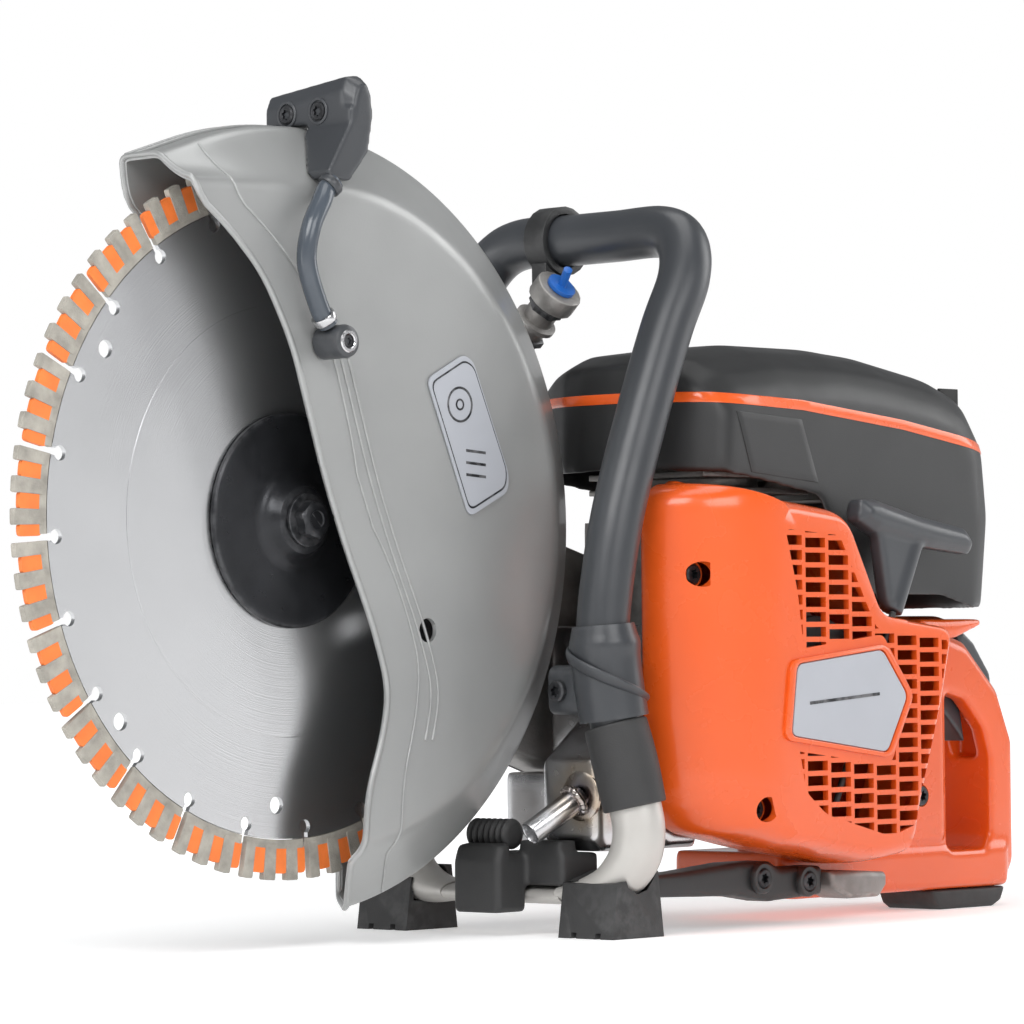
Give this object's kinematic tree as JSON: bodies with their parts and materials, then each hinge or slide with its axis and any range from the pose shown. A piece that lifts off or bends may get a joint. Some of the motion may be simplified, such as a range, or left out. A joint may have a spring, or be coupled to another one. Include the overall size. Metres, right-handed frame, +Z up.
{
  "type": "petrol cut-off saw",
  "caption": "Hand-held petrol cut-off saw with a diamond blade in an adjustable guard, belt arm, recoil starter, finned engine, front loop handle and rear throttle handle.",
  "frame": {"origin": "middle of the bottom of the bounding box, on the ground the feet stand on", "axes": "+X forward towards the blade, +Y to the saw's left, where the starter is, +Z up"},
  "size_m": [0.678, 0.2074, 0.424],
  "materials": {
    "blade_steel": "brushed, satin",
    "dark_steel": "black oxide, satin",
    "bright_steel": "plain sheet and turned steel",
    "guard_paint": "silver painted casting, satin",
    "cast_metal": "as cast",
    "orange_plastic": "gloss",
    "charcoal_plastic": "satin",
    "grip_plastic": "satin, fine grain",
    "rubber": "matt",
    "hose_rubber": "gloss",
    "bare_tube": "bare, satin",
    "badge_plate": "satin",
    "signal_red": "satin",
    "signal_blue": "satin"
  },
  "bodies": {
    "root": {"cutting_arm": "cast_metal", "spindle_bearing": "bright_steel", "belt_cover": "charcoal_plastic", "drive_belt": "rubber", "crankcase": "cast_metal", "cylinder": "cast_metal", "spark_plug": "bright_steel", "carburettor": "cast_metal", "air_filter": "grip_plastic", "muffler": "bright_steel", "exhaust_outlet": "bright_steel", "rear_handle": "orange_plastic", "rear_foot": "rubber", "starter_cover": "orange_plastic", "starter_bolt_1": "dark_steel", "starter_bolt_2": "dark_steel", "starter_bolt_3": "dark_steel", "starter_badge": "badge_plate", "top_cover": "charcoal_plastic", "front_handle_tube": "grip_plastic", "lower_handle_tube": "bare_tube", "handle_sleeve": "rubber", "handle_collar": "grip_plastic", "collar_screw": "dark_steel", "front_foot_left": "rubber", "front_foot_right": "rubber", "front_bumper": "rubber", "intake_bellows": "rubber", "side_rail": "charcoal_plastic", "rear_bracket": "cast_metal", "valve_clamp": "charcoal_plastic", "water_valve": "cast_metal"},
    "blade_assembly": {"blade": "blade_steel", "outer_flange": "dark_steel", "inner_flange": "dark_steel", "spindle_shaft": "bright_steel", "blade_bolt": "dark_steel", "driven_pulley": "bright_steel"},
    "guard": {"blade_guard": "guard_paint", "guard_plate": "badge_plate", "guard_grip": "grip_plastic", "guard_grip_screw_1": "dark_steel", "guard_grip_screw_2": "dark_steel", "guard_water_hose": "hose_rubber", "guard_nozzle": "grip_plastic"},
    "clutch": {"clutch_drum": "bright_steel"},
    "crank": {"crankshaft": "bright_steel", "clutch_shoes": "dark_steel", "flywheel": "cast_metal"},
    "piston_body": {"piston": "cast_metal"},
    "trigger": {"throttle_trigger": "grip_plastic"},
    "lockout": {"throttle_lockout": "grip_plastic"},
    "stop": {"stop_switch": "signal_red"},
    "choke": {"choke_lever": "charcoal_plastic"},
    "cap": {"fuel_cap": "charcoal_plastic"},
    "decompression": {"decompression_button": "signal_blue"},
    "pull": {"starter_handle": "grip_plastic", "starter_rope": "rubber"},
    "rope_pulley": {"starter_pulley": "charcoal_plastic"},
    "tap": {"water_valve_lever": "signal_blue"}
  },
  "joints": [
    {"name": "blade_spin", "type": "hinge", "parent": "root", "child": "blade_assembly", "pos_m": [0.16403, -0.01475, 0.208], "axis": [0, 1, 0], "continuous": true},
    {"name": "guard_turn", "type": "hinge", "parent": "root", "child": "guard", "pos_m": [0.16403, -0.01475, 0.208], "axis": [0, 1, 0], "range_deg": [-20, 45]},
    {"name": "clutch_spin", "type": "hinge", "parent": "root", "child": "clutch", "pos_m": [-0.11097, -0.01475, 0.124], "axis": [0, 1, 0], "continuous": true},
    {"name": "crank_spin", "type": "hinge", "parent": "root", "child": "crank", "pos_m": [-0.11097, -0.01475, 0.124], "axis": [0, 1, 0], "continuous": true},
    {"name": "piston_stroke", "type": "slide", "parent": "root", "child": "piston_body", "axis": [0, 0, 1], "range_m": [-0.02, 0.012]},
    {"name": "throttle_trigger_pull", "type": "hinge", "parent": "root", "child": "trigger", "pos_m": [-0.28497, 0.02425, 0.129], "axis": [0, 1, 0], "range_deg": [0, 12], "stiffness_Nm_per_rad": 0.15, "springref_deg": -8.59},
    {"name": "throttle_lockout_press", "type": "hinge", "parent": "root", "child": "lockout", "pos_m": [-0.30597, 0.02425, 0.148], "axis": [0, 1, 0], "range_deg": [-5, 0], "stiffness_Nm_per_rad": 0.15, "springref_deg": 8.59},
    {"name": "stop_switch_slide", "type": "slide", "parent": "root", "child": "stop", "axis": [1, 0, 0], "range_m": [0, 0.004]},
    {"name": "choke_turn", "type": "hinge", "parent": "root", "child": "choke", "pos_m": [-0.20197, 0.05025, 0.146], "axis": [0, 1, 0], "range_deg": [0, 60]},
    {"name": "fuel_cap_turn", "type": "hinge", "parent": "root", "child": "cap", "pos_m": [-0.23097, -0.03275, 0.118], "axis": [0, 1, 0], "range_deg": [0, 90]},
    {"name": "decompression_press", "type": "slide", "parent": "root", "child": "decompression", "axis": [0, 1, 0], "range_m": [0, 0.003], "stiffness_N_per_m": 300, "springref_m": -0.003},
    {"name": "starter_pull", "type": "slide", "parent": "root", "child": "pull", "axis": [-0.4472, 0, 0.8944], "range_m": [0, 0.1], "stiffness_N_per_m": 40, "springref_m": -0.04},
    {"name": "starter_pulley_turn", "type": "hinge", "parent": "root", "child": "rope_pulley", "pos_m": [-0.11097, 0.08225, 0.124], "axis": [0, 1, 0], "range_deg": [0, 161]},
    {"name": "water_tap_turn", "type": "hinge", "parent": "root", "child": "tap", "pos_m": [-0.03197, -0.04275, 0.304], "axis": [0, 0.7372, 0.6757], "range_deg": [0, 90]}
  ],
  "couplings": [
    {"joint": "clutch_spin", "follows": "blade_spin", "ratio": 2},
    {"joint": "starter_pulley_turn", "follows": "starter_pull", "rad_per_m": 28}
  ]
}
